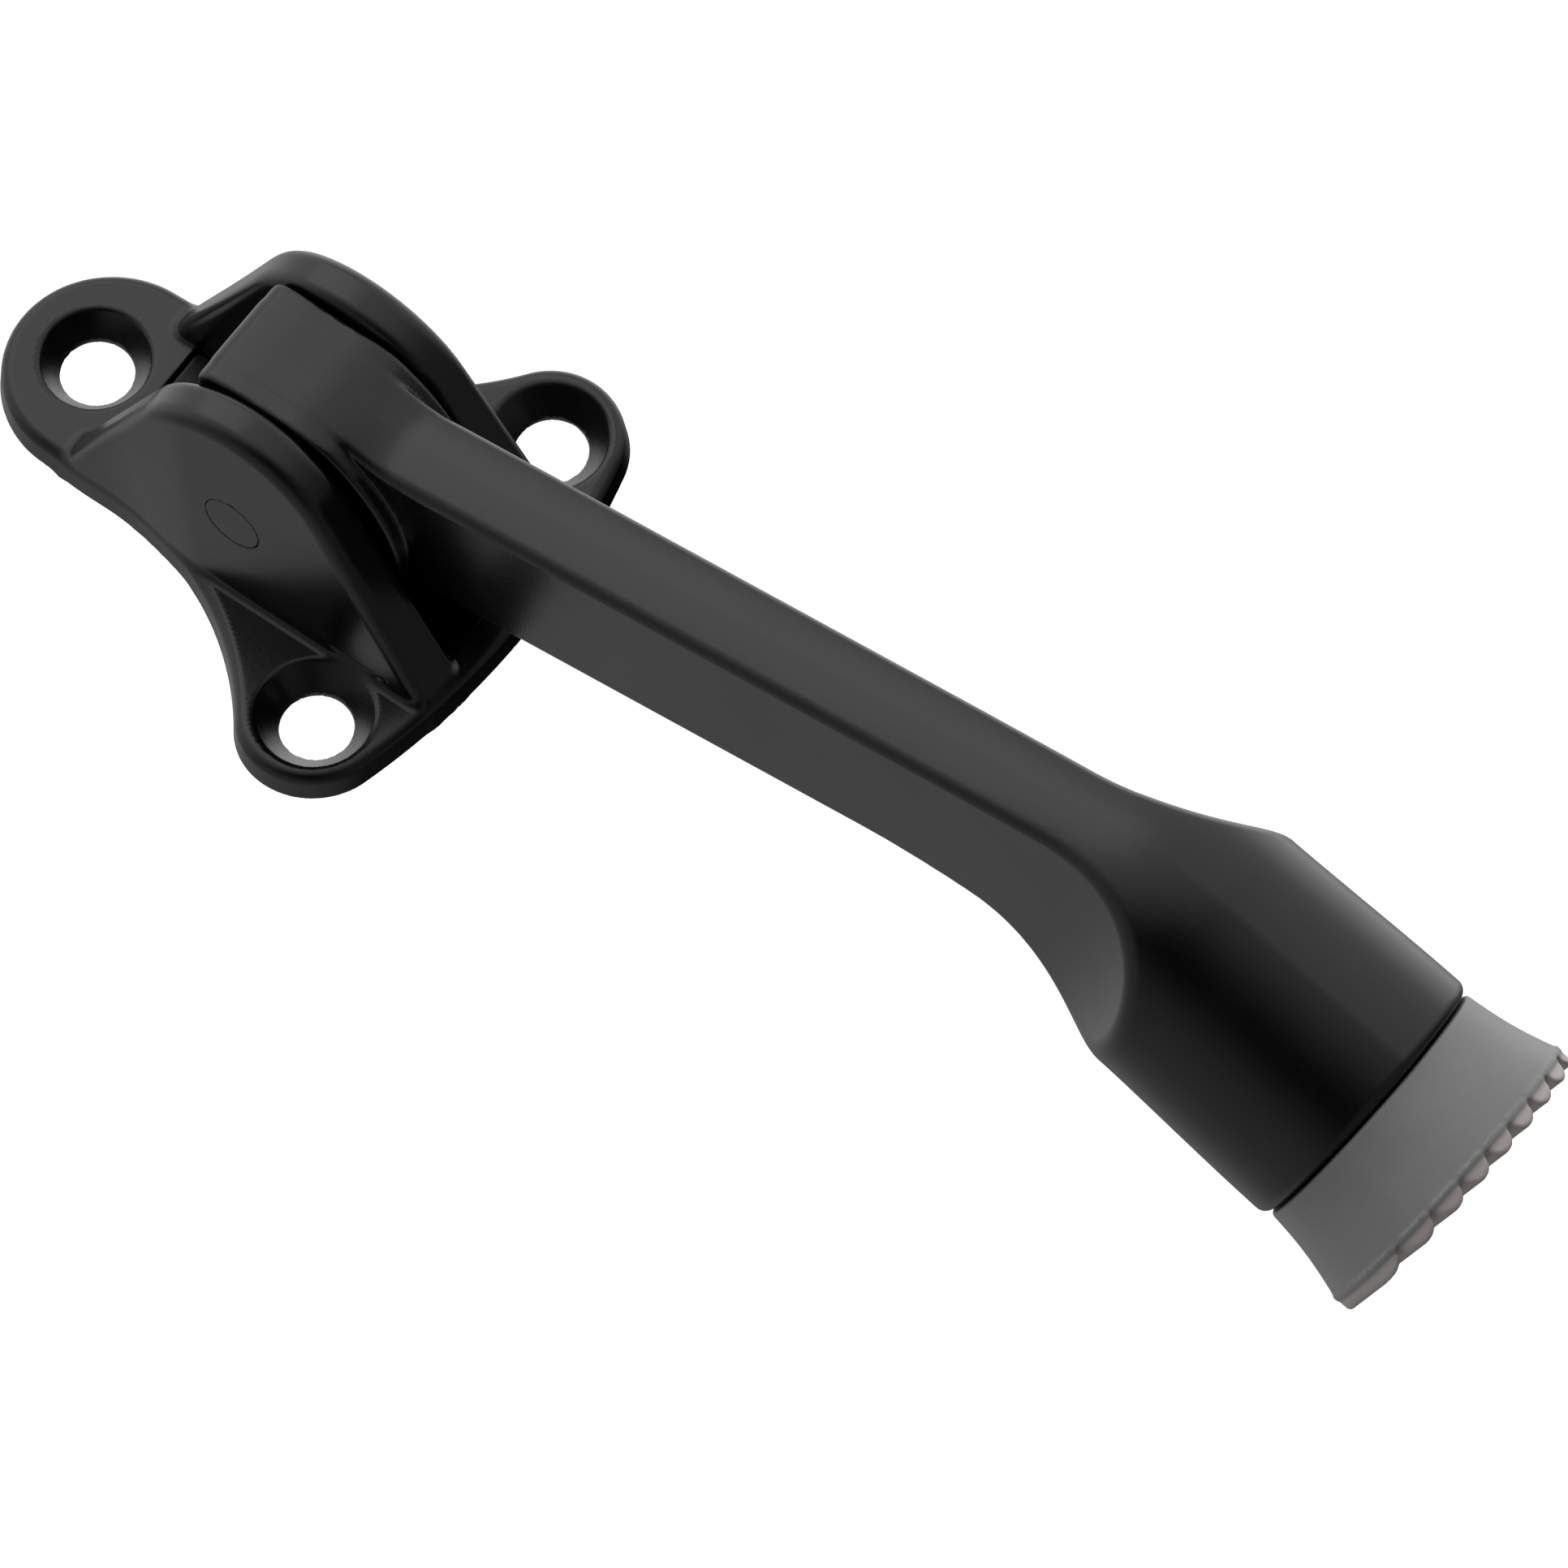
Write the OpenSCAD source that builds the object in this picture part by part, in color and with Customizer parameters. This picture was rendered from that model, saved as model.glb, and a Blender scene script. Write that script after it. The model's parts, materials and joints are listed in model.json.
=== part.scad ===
// Kick-down door holder: a cast bracket for the door face, a cast lever that swings
// on a cross pin, a leaf spring that snaps the lever up or down, and a rubber foot.
// Units are millimetres. The door face is the plane y = 0 and the holder stands out
// of it towards -y. The origin lies midway between the two lower screw holes.

/* [Screw holes] */
// Diameter of the three screw holes
hole_d = 5.5; // [4.5:0.1:6]
// Distance between the two lower screw holes
lower_hole_spacing = 28; // [27:0.5:30]
// Height of the top screw hole above the lower pair
top_hole_up = 30.75; // [30:0.25:33]
// Mouth diameter of the countersinks
countersink_d = 8.8; // [8:0.1:9.4]
// Straight length left behind each countersink
hole_land = 0.8; // [0.6:0.1:1.2]

/* [Bracket] */
// Thickness of the mounting plate
plate_t = 2.6; // [2.4:0.1:3.2]
// Radius of the rounded top of the plate
top_lobe_r = 7.85; // [7:0.05:7.9]
// Half width of the waist below the top lobe
waist_half = 7.9; // [7.6:0.1:8.4]
// Radius of the two lower lobes
lower_lobe_r = 5.7; // [5.2:0.1:6.4]
// Radius of the hollow curve between the waist and a lower lobe
side_curve_r = 24.1; // [22:0.1:26]
// Drop of the bottom edge below the lower holes
bottom_drop = 7.55; // [7.2:0.05:8]
// Clear width between the two cheeks
cheek_gap = 10; // [9.8:0.1:10.6]
// Half width over the cheeks at the plate
cheek_foot_half = 9.4; // [9:0.1:9.8]
// Half width over the cheeks at their crest
cheek_crest_half = 8.3; // [7.6:0.1:8.4]
// Radius of the cheek's rounded crest
crest_r = 9.4; // [8.5:0.1:9.6]
// Distance of the crest's centre from the door
crest_out = 14.2; // [13.8:0.1:14.6]
// Slope of the cheek's two straight edges
cheek_slope = 27.6; // [26:0.2:29]

/* [Pivot] */
// Distance of the pivot pin from the door
pivot_out = 12.2; // [12.1:0.1:12.8]
// Height of the pivot pin above the lower screw holes
pivot_up = 10.65; // [10:0.05:11.2]
// Diameter of the pivot pin
pin_d = 4.8; // [4:0.1:5]
// Length of the pivot pin
pin_len = 17; // [16:0.1:17.2]
// Radial clearance of the pin in the bracket
bracket_pin_gap = 0.02; // [0.01:0.01:0.05]
// Radial clearance of the pin in the lever
lever_pin_gap = 0.07; // [0.03:0.01:0.1]

/* [Leaf spring] */
// Length of the leaf spring
spring_len = 30; // [29:0.25:30.2]
// Width of the leaf spring
spring_w = 9.2; // [8.5:0.1:9.6]
// Thickness of the leaf spring
spring_t = 0.8; // [0.6:0.1:0.8]
// Depth of the ledges that the spring's ends sit on, measured from the door
ledge_out = 1.2; // [1:0.1:1.2]
// Length of the window that the spring bridges
window_len = 27.5; // [26.5:0.25:28]

/* [Lever] */
// Width of the hub between the cheeks
hub_w = 9.4; // [9:0.1:9.4]
// Distance from the pivot to the hub's front flat
hub_front = 10.8; // [10.4:0.1:11]
// Distance from the pivot to the hub's back flat, which rests on the spring
hub_back = 10; // [9.6:0.1:10.1]
// Distance from the pivot to the hub's top flat
hub_top = 5.8; // [5.4:0.1:6.6]
// Radius of the hub over its rounded corners
hub_corner_r = 11.75; // [11.4:0.05:11.9]
// Lean of the bar away from the door when the lever is down
lean = 9.4; // [9.4:0.1:11]
// Width of the bar
bar_w = 6.6; // [6:0.1:7]
// Distance from the pivot line to the front of the bar
bar_front = 8; // [7.8:0.1:8.4]
// Distance from the pivot line to the back of the bar
bar_back = 6.7; // [6:0.1:7]
// Length of the bar from the pivot to the knee
knee_reach = 73.8; // [70:0.2:80]
// Bend between the bar and the cup
bend = 33.9; // [31:0.1:34]
// Radius of the bend along the front of the lever
front_bend_r = 19; // [15:1:20]
// Radius of the bend along the back of the lever
back_bend_r = 37; // [30:1:38]
// Length from the knee to the mouth of the cup
cup_reach = 25.6; // [24:0.2:28]
// Radius of the cup where the flare meets it
cup_root_r = 10.65; // [10.2:0.05:10.8]
// Radius of the cup at its mouth
cup_mouth_r = 11.1; // [10.9:0.05:11.4]
// Radius of the hollow flare between the bar and the cup
flare_r = 16.7; // [16:0.1:18]
// Distance above the knee at which the flare starts
flare_start = 5; // [4:0.1:6]

/* [Rubber foot] */
// Radius of the foot where it meets the cup
foot_top_r = 10.5; // [10:0.1:10.8]
// Radius of the foot's sole
sole_r = 12.1; // [11.6:0.1:12.1]
// Height of the foot outside the cup
foot_h = 7.4; // [6.5:0.1:7.6]
// Number of ribs across the sole
rib_count = 9; // [5:2:9]
// Distance between ribs
rib_pitch = 2.7; // [2.5:0.1:2.8]
// Radius of a rib
rib_r = 1.05; // [0.8:0.05:1.1]
// Height of a rib above the sole
rib_h = 0.95; // [0.6:0.05:1]
// Distance of the ribs' ends inside the sole's edge
rib_inset = 0.5; // [0.4:0.1:1]
// Diameter of the plug that fills the cup
plug_d = 15; // [13:0.5:16]
// Length of the plug
plug_len = 11; // [9:0.5:12]
// Diameter of the screw through the foot
foot_screw_d = 3.8; // [3:0.1:4.2]
// Diameter of the recess in the sole that hides the screw's head
recess_d = 9; // [8.5:0.1:10]
// Depth of the recess below the sole
recess_depth = 4; // [3.8:0.1:4.4]

/* [Hidden] */
$fn = 96;
cast_black = [0.16, 0.16, 0.16];
spring_steel = [0.45, 0.46, 0.48];
zinc_plate = [0.62, 0.62, 0.6];
rubber_grey = [0.42, 0.41, 0.41];

lower_x = lower_hole_spacing / 2;
// Centre of the hollow side curve, which touches both the waist and the lower lobe
side_centre = [waist_half + side_curve_r, sqrt((side_curve_r + lower_lobe_r)^2
    - (waist_half + side_curve_r - lower_x)^2)];
side_turn = atan2(side_centre[1], side_centre[0] - lower_x);
// The bottom edge is an arc that touches both lower lobes
lobe_drop = bottom_drop - lower_lobe_r;
bottom_centre_z = (lower_x^2 - lobe_drop^2) / (2 * lobe_drop);
bottom_turn = atan2(bottom_centre_z, lower_x);
top_centre = [0, top_hole_up - 1];

// The straight cheek edges touch the crest's circle and run down to the door plane
crest_turn = 90 - cheek_slope;
edge_foot = crest_r * cos(cheek_slope)
    + (crest_out + crest_r * sin(cheek_slope)) * tan(cheek_slope);

spring_up = top_hole_up - 20.75;
pocket_gap = 0.25;
spring_corner_r = 0.6;
cheek_gap_half = cheek_gap / 2;
cut = 0.5;

flare_end = sqrt(flare_r^2 - (flare_r + bar_w / 2 - cup_root_r)^2) - flare_start;
bar_mid = (bar_front - bar_back) / 2;
flare_side_off = cup_root_r + 0.2;
cup_lap = 0.4;
socket_depth = plug_len + 0.2;
fit_gap = 0.05;
screw_bite = 8;
screw_tip = socket_depth + screw_bite - 0.5;
foot_hole_gap = 0.2;
waist_in = 0.25;
side_steps = 5;
bar_overlap = 2;
cross_len = 3.6;
cross_w = 0.8;
foot_washer_t = 0.8;
foot_washer_d = recess_d - 0.4;
screw_head_d = 6.4;
screw_head_h = 2.1;

// Points on a circle from one angle to another
function arc(centre, r, from, to, steps) = [
    for (i = [0:steps])
        let (a = from + (to - from) * i / steps)
        [centre[0] + r * cos(a), centre[1] + r * sin(a)]
];

// Draws a side view, given as distance from the door and height, width w across x
module across(w) {
    rotate([90, 0, -90])
        linear_extrude(height = w, center = true)
            children();
}

// Draws a front view, given as x and height, standing out from the door
module out_from_door(from, to) {
    translate([0, -from, 0])
        rotate([90, 0, 0])
            linear_extrude(height = to - from)
                children();
}

// A round bar along x through the pivot
module pivot_cylinder(d, len) {
    translate([0, -pivot_out, pivot_up])
        rotate([0, 90, 0])
            cylinder(d = d, h = len, center = true);
}

// Lever frame: origin on the pivot, bar running down -z, front of the bar towards -y
module at_lever() {
    translate([0, -pivot_out, pivot_up])
        rotate([-lean, 0, 0])
            children();
}

// Cup frame: origin at the knee, cup running down -z
module at_cup() {
    at_lever()
        translate([0, -bar_mid, -knee_reach])
            rotate([bend, 0, 0])
                children();
}

// ---------------------------------------------------------------- bracket
// Right half of the plate's outline, from its top clockwise to its bottom
plate_half = concat(
    arc(top_centre, top_lobe_r, 90, 0, 12),
    arc(side_centre, side_curve_r, 180, 180 + side_turn, 12),
    arc([lower_x, 0], lower_lobe_r, side_turn, -bottom_turn, 16),
    arc([0, bottom_centre_z], bottom_centre_z + bottom_drop, -bottom_turn, -90, 6)
);

module plate_outline() {
    last = len(plate_half) - 2;
    polygon(concat(
        plate_half,
        [for (i = [last:-1:1]) [-plate_half[i][0], plate_half[i][1]]]
    ));
}

module cheek_side() {
    polygon(concat(
        [[-cut, pivot_up - edge_foot]],
        arc([crest_out, pivot_up], crest_r, -crest_turn, crest_turn, 24),
        [[-cut, pivot_up + edge_foot]]
    ));
}

// Both cheeks as one drafted block; the gap between them is cut out afterwards
module cheek_block() {
    draft_out = crest_out + crest_r;
    intersection() {
        across(4 * cheek_foot_half) cheek_side();
        translate([0, 0, pivot_up - edge_foot - 1])
            linear_extrude(height = 2 * edge_foot + 2)
                polygon([
                    [-cheek_foot_half, cut], [cheek_foot_half, cut],
                    [cheek_crest_half, -draft_out - 1], [-cheek_crest_half, -draft_out - 1]
                ]);
    }
}

module countersunk_hole(x, z) {
    translate([x, 0, z])
        rotate([90, 0, 0]) {
            translate([0, 0, -cut]) cylinder(d = hole_d, h = plate_t + 2 * cut);
            translate([0, 0, hole_land])
                cylinder(d1 = hole_d, d2 = countersink_d, h = plate_t - hole_land);
            translate([0, 0, plate_t])
                cylinder(d = countersink_d, h = 2 * plate_t);
        }
}

module bracket() {
    color(cast_black)
        difference() {
            intersection() {
                out_from_door(0, 2 * pivot_out) plate_outline();
                union() {
                    out_from_door(-cut, plate_t)
                        square(4 * top_hole_up, center = true);
                    cheek_block();
                }
            }
            // Room between the cheeks, down to the spring's ledges
            out_from_door(ledge_out, 3 * pivot_out)
                translate([0, spring_up])
                    square([cheek_gap, spring_len + 2 * pocket_gap], center = true);
            out_from_door(plate_t, 3 * pivot_out)
                translate([0, spring_up])
                    square([cheek_gap, 4 * spring_len], center = true);
            // Window behind the spring
            out_from_door(-cut, 2 * ledge_out)
                translate([0, spring_up])
                    square([cheek_gap, window_len], center = true);
            countersunk_hole(0, top_hole_up);
            countersunk_hole(-lower_x, 0);
            countersunk_hole(lower_x, 0);
            pivot_cylinder(pin_d + 2 * bracket_pin_gap, 4 * cheek_foot_half);
        }
}

// ---------------------------------------------------------------- pivot
module pivot_pin() {
    chamfer = 0.4;
    color(cast_black)
        translate([0, -pivot_out, pivot_up])
            rotate([0, 90, 0])
                rotate_extrude()
                    polygon([
                        [0, -pin_len / 2], [pin_d / 2 - chamfer, -pin_len / 2],
                        [pin_d / 2, -pin_len / 2 + chamfer], [pin_d / 2, pin_len / 2 - chamfer],
                        [pin_d / 2 - chamfer, pin_len / 2], [0, pin_len / 2]
                    ]);
}

module leaf_spring() {
    inner_w = spring_w - 2 * spring_corner_r;
    inner_len = spring_len - 2 * spring_corner_r;
    color(spring_steel)
        out_from_door(ledge_out, ledge_out + spring_t)
            translate([0, spring_up]) {
                square([spring_w, inner_len], center = true);
                square([inner_w, spring_len], center = true);
                for (x = [-1, 1], z = [-1, 1])
                    translate([x * inner_w / 2, z * inner_len / 2])
                        circle(r = spring_corner_r);
            }
}

// ---------------------------------------------------------------- lever
// Distance beyond the knee at which a line `off` in front of the cup's axis
// is `depth` in front of the pivot line
function crossing(off, depth) = (bar_mid + off * cos(bend) - depth) / sin(bend);

// Point `off` in front of the cup's axis and t beyond the knee, as depth and height
function on_cup(off, t) = [
    bar_mid + off * cos(bend) - t * sin(bend),
    -(knee_reach + t * cos(bend) + off * sin(bend))
];

// Arc of radius r that turns a line at `depth` from the bar's direction to the cup's
function bend_arc(depth, off, r) =
    let (start = on_cup(off, crossing(off, depth))[1] + r * tan(bend / 2))
    arc([depth - r, start], r, 0, -bend, 12);

// Side view of the whole lever; at the cup it stands `off` from the cup's axis
module lever_side(off) {
    back = bend_arc(-bar_back, -off, back_bend_r);
    polygon(concat(
        [[-bar_back, 0], [bar_front, 0]],
        bend_arc(bar_front, off, front_bend_r),
        [on_cup(off, cup_reach), on_cup(-off, cup_reach)],
        [for (i = [len(back) - 1:-1:0]) back[i]]
    ));
}

module hub() {
    intersection() {
        pivot_cylinder(2 * hub_corner_r, hub_w);
        translate([-hub_w, -pivot_out - hub_front, pivot_up - 2 * hub_corner_r])
            cube([2 * hub_w, hub_front + hub_back, 2 * hub_corner_r + hub_top]);
    }
}

module bar() {
    intersection() {
        at_lever() across(bar_w) lever_side(flare_side_off);
        at_cup()
            translate([-bar_w, -knee_reach, -bar_overlap])
                cube([2 * bar_w, 2 * knee_reach, 2 * knee_reach]);
    }
}

// Front view of the flare: the hollow sides grow from the bar's width to the cup's
module flare_front() {
    difference() {
        translate([-2 * cup_mouth_r, -2 * cup_reach])
            square([4 * cup_mouth_r, 2 * cup_reach + flare_start]);
        for (side = [-1, 1])
            translate([side * (bar_w / 2 + flare_r), flare_start])
                circle(r = flare_r, $fn = 180);
    }
}

// The flare is the cup's cylinder carried up the bar and cut back to the side view
module flare() {
    intersection() {
        at_lever() across(4 * cup_mouth_r) lever_side(flare_side_off);
        at_cup()
            translate([0, 0, -flare_end])
                cylinder(r = cup_root_r, h = flare_end + flare_start);
        at_cup()
            rotate([90, 0, 0])
                linear_extrude(height = 6 * cup_mouth_r, center = true)
                    flare_front();
    }
}

module cup() {
    at_cup()
        translate([0, 0, -cup_reach])
            cylinder(r1 = cup_mouth_r, r2 = cup_root_r, h = cup_reach - flare_end + cup_lap);
}

module lever_arm() {
    color(cast_black)
        difference() {
            union() {
                hub();
                bar();
                flare();
                cup();
            }
            pivot_cylinder(pin_d + 2 * lever_pin_gap, 2 * hub_w);
            at_cup() {
                translate([0, 0, -cup_reach - cut])
                    cylinder(d = plug_d, h = socket_depth + cut);
                translate([0, 0, -cup_reach + socket_depth - cut])
                    cylinder(d = foot_screw_d, h = screw_bite + 2 * cut);
            }
        }
}

// ---------------------------------------------------------------- foot
// Foot frame: origin at the centre of the cup's mouth, sole towards -z
module at_foot() {
    at_cup()
        translate([0, 0, -cup_reach])
            children();
}

// Radius of the foot's side, which is drawn in a little between top and sole
function foot_side_r(h) =
    foot_top_r + (sole_r - foot_top_r) * h / foot_h - waist_in * sin(180 * h / foot_h);

module foot_body() {
    rotate_extrude()
        polygon(concat(
            [[0, plug_len], [plug_d / 2 - fit_gap, plug_len], [plug_d / 2 - fit_gap, 0]],
            [for (i = [0:side_steps]) let (h = foot_h * i / side_steps) [foot_side_r(h), -h]],
            [[0, -foot_h]]
        ));
}

module ribs() {
    intersection() {
        for (i = [0:rib_count - 1])
            translate([(i - (rib_count - 1) / 2) * rib_pitch, 0, -foot_h - rib_h + rib_r])
                rotate([90, 0, 0])
                    cylinder(r = rib_r, h = 3 * sole_r, center = true);
        translate([0, 0, -2 * foot_h]) cylinder(r = sole_r - rib_inset, h = 2 * foot_h);
    }
}

module rubber_foot() {
    color(rubber_grey)
        at_foot()
            difference() {
                union() {
                    foot_body();
                    ribs();
                }
                translate([0, 0, -2 * foot_h])
                    cylinder(d = recess_d, h = foot_h + recess_depth);
                translate([0, 0, -foot_h])
                    cylinder(d = foot_screw_d + 2 * foot_hole_gap, h = foot_h + plug_len + cut);
            }
}

module foot_washer() {
    color(zinc_plate)
        at_foot()
            translate([0, 0, recess_depth - foot_h - foot_washer_t])
                difference() {
                    cylinder(d = foot_washer_d, h = foot_washer_t);
                    translate([0, 0, -cut])
                        cylinder(d = foot_screw_d + 2 * foot_hole_gap, h = foot_washer_t + 2 * cut);
                }
}

module foot_screw() {
    head_under = recess_depth - foot_h - foot_washer_t;
    color(zinc_plate)
        at_foot()
            difference() {
                union() {
                    translate([0, 0, head_under - screw_head_h])
                        cylinder(d1 = 0.8 * screw_head_d, d2 = screw_head_d, h = 0.4 * screw_head_h);
                    translate([0, 0, head_under - 0.6 * screw_head_h])
                        cylinder(d = screw_head_d, h = 0.6 * screw_head_h);
                    translate([0, 0, head_under - cut])
                        cylinder(d = foot_screw_d - 2 * fit_gap,
                                 h = screw_tip - head_under + cut);
                }
                for (turn = [0, 90])
                    rotate([0, 0, turn])
                        translate([-cross_len / 2, -cross_w / 2, head_under - screw_head_h - cut])
                            cube([cross_len, cross_w, cut + 0.6 * screw_head_h]);
            }
}

bracket();
pivot_pin();
leaf_spring();
lever_arm();
rubber_foot();
foot_washer();
foot_screw();
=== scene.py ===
"""Looks of a kick-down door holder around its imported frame.

The castings, the rubber foot, the pin and the spring are modelled as distance functions in
millimetres and meshed on a grid, so that every edge and fillet has its real radius. The places of
the screw holes, the pivot, the pin and the spring come from the frame. "Out" is the distance from
the door, along -Y.
"""

import json
import math

import bmesh
import bpy
import numpy as np
from mathutils import Matrix, Vector


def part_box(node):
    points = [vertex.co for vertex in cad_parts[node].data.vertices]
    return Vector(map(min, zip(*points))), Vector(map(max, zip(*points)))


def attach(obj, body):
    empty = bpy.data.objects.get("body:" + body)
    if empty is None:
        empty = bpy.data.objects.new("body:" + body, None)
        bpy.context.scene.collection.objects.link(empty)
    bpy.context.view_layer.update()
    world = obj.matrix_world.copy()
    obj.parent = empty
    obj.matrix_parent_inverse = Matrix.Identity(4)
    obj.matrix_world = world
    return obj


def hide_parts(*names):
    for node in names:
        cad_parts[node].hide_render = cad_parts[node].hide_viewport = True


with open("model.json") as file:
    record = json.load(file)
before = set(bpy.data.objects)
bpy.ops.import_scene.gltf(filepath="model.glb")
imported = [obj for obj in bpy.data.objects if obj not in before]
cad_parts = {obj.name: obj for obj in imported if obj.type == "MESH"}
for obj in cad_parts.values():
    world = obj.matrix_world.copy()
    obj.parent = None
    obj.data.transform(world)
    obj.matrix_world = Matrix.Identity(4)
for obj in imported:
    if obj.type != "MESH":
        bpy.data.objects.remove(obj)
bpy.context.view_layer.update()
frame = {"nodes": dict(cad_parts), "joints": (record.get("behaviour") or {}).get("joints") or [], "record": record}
MM = 0.001

# ---------------------------------------------------------------- sizes in millimetres
# Screw holes: countersink radii at the plate's face, and the straight land below them
TOP_SINK_R = 4.2
LOWER_SINK_R = 4.5
HOLE_LAND = 0.55
HOLE_EDGE_R = 0.2

# Plate: lobes around the holes, hollow sides and a bottom curve. Its sides stand SIDE_SPREAD
# further out from the height range SPREAD_IN up to the range SPREAD_OUT.
PLATE_T = 2.6
TOP_LOBE_R = 7.87
TOP_LOBE_DROP = 1.0
WAIST_HALF = TOP_LOBE_R
LOWER_LOBE_R = 5.7
SIDE_CURVE_R = 24.1
BOTTOM_DROP = 7.55
PLATE_SPREAD = 0.02
SIDE_SPREAD = 0.33
SPREAD_IN = (-5, 5)
SPREAD_OUT = (25, 36)
PLATE_DRAFT = 0.1
PLATE_EDGE_R = 0.8
BACK_EDGE_R = 0.12
# Cuts in the plate's face end this far in front of it
CUT_RISE = 1.0

# Cheeks: CREST_OUT is the crest's centre, CHEEK_SLOPE the lean of its straight edges
CHEEK_GAP_HALF = 5.0
CHEEK_FOOT_HALF = 9.55
CHEEK_DRAFT = 0.045
WAIST_DRAFT = 0.018
CREST_R = 9.65
CREST_OUT = 14.2
CHEEK_SLOPE = math.radians(27.6)
CHEEK_EDGE_R = 1.2
CHEEK_INNER_R = 0.9
CHEEK_WAIST_BLEND_R = 0.8
CHEEK_FOOT_FILLET = 0.6

# Pocket of the spring, the ledges that carry its ends, and the window between them
LEDGE_OUT = 1.2
WINDOW_HALF = 13.75
WINDOW_CORNER_R = 0.6
POCKET_CLEARANCE = 0.25
POCKET_CORNER_R = 0.3
OPENING_EDGE_R = 0.18

# Pivot pin: hairlines around it in the cheeks and in the hub
PIN_GAP = 0.03
PIN_EDGE_R = 0.09
BORE_GAP = 0.07
BORE_EDGE_R = 0.15

# Hub, square to the door
HUB_HALF = 4.72
HUB_FRONT = 10.8
HUB_BACK = 10.0
HUB_TOP = 5.8
HUB_R = 11.75
HUB_EDGE_R = 0.4
HUB_CORNER_R = 1.3
HUB_ARRIS_R = 0.8
HUB_BLEND_R = 2.5
HUB_SIDE_FILLET = 0.25

# Bar, which leans out from the door, down to the knee
LEAN = math.radians(9.4)
BAR_HALF = 3.45
BAR_FRONT = 8.05
BAR_BACK = 7.05
BAR_CROWN_R = 15.0
BAR_EDGE_R = 0.8
PARTING_SLOPE = 0.08
PARTING_SPAN = 3.0
KNEE_REACH = 73.8
BEND = math.radians(33.9)
FRONT_BEND_R = 19.0
BACK_BEND_R = 46.0

# Cup, measured from the knee: the bar's crown turns into its cylinder over CROWN_CHANGE
CROWN_CHANGE = (1.0, 16.0)
CUP_SPREAD_START = 6.0
CUP_REACH = 25.6
CUP_ROOT_R = 10.7
CUP_MOUTH_R = 11.15
CUP_EDGE_R = 0.9
FLARE_R = 16.7
FLARE_START = 5.0
SOCKET_R = 7.5
SOCKET_DEPTH = 11.2
PILOT_R = 1.9
PILOT_DEPTH = SOCKET_DEPTH + 8.0

# Rubber foot: a cone with slightly hollow sides, a plug in the cup's socket, ribs on the sole
FOOT_TOP_R = 10.5
SOLE_R = 12.1
FOOT_H = 7.9
FOOT_TAPER = (SOLE_R - FOOT_TOP_R) / FOOT_H
FOOT_WAIST = 0.25
FOOT_SEAM = 0.2
FOOT_EDGE_R = 0.3
PLUG_R = 7.45
PLUG_LEN = 11.0
PLUG_ROOT = 1.0
PLUG_EDGE_R = 0.4
RIB_COUNT = 9
RIB_PITCH = 2.7
RIB_R = 1.15
RIB_H = 1.25
RIB_ROOT = 0.3
RIB_INSET = 0.1
RIB_END_R = 0.35
# Painted glow: over this range below the sole the ribs are painted lighter and warmer, in place of light passing
# through the thin rubber
RIB_PAINTED_GLOW_RANGE = (FOOT_H - 0.1, FOOT_H + 0.3)
RIB_FILLET = 0.3
RECESS_R = 4.5
RECESS_DEPTH = 4.0
FOOT_HOLE_R = 2.1

# Leaf spring: how far it bows back, and how much larger it is than the frame's own
SPRING_BOW = 1.5
SPRING_RAISE = 0.35
SPRING_EXTRA = 0.18
SPRING_SIDE_EXTRA = 0.4
SPRING_T = 0.7
SPRING_CORNER_R = 0.6
SPRING_EDGE_R = 0.18

# Places and sizes that the frame gives
MOUNTS = {mount["name"]: mount for mount in frame["record"]["mounts"]}
LOWER_HOLE_X = MOUNTS["lower_screw_holes"]["dims"]["spacing_x_mm"] / 2
TOP_HOLE_UP = MOUNTS["top_screw_hole"]["pos_m"][2] / MM
HOLE_R = MOUNTS["top_screw_hole"]["dims"]["r_mm"]
PIVOT = np.array(frame["joints"][0]["pos_m"]) / MM
PIVOT_OUT, PIVOT_UP = -PIVOT[1], PIVOT[2]
PIN_LOW, PIN_HIGH = (np.array(corner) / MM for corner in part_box("pivot_pin"))
PIN_R = (PIN_HIGH[2] - PIN_LOW[2]) / 2
SPRING_LOW, SPRING_HIGH = (np.array(corner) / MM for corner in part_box("leaf_spring"))
SPRING_UP = (SPRING_LOW[2] + SPRING_HIGH[2]) / 2

# Grid cells for the meshes
BRACKET_CELL = 0.27
LEVER_CELL = 0.3
FOOT_CELL = 0.25
SMALL_CELL = 0.2
# The faces within PIN_RING of the pin's edge and past PIN_RING_SIDE are split finer
PIN_RING = 0.6
PIN_RING_SIDE = 7.6
# An edge is as worn as the distances WEAR_REACH around it add up to, within WEAR_RANGE
WEAR_REACH = 0.5
WEAR_RANGE = (0.5, 2.0)


# ---------------------------------------------------------------- distances
def both(a, b, r):
    """What two shapes share, with a convex edge of radius r."""
    edge = np.hypot(np.maximum(a + r, 0), np.maximum(b + r, 0))
    return np.minimum(np.maximum(a, b), -r) + edge


def either(a, b, r):
    """Two shapes together, with a fillet of radius r."""
    edge = np.hypot(np.maximum(r - a, 0), np.maximum(r - b, 0))
    return np.maximum(np.minimum(a, b), r) - edge


def smooth_step(value, low, high):
    """Rises smoothly from 0 at low to 1 at high."""
    t = np.clip((value - low) / (high - low), 0, 1)
    return t * t * (3 - 2 * t)


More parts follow.
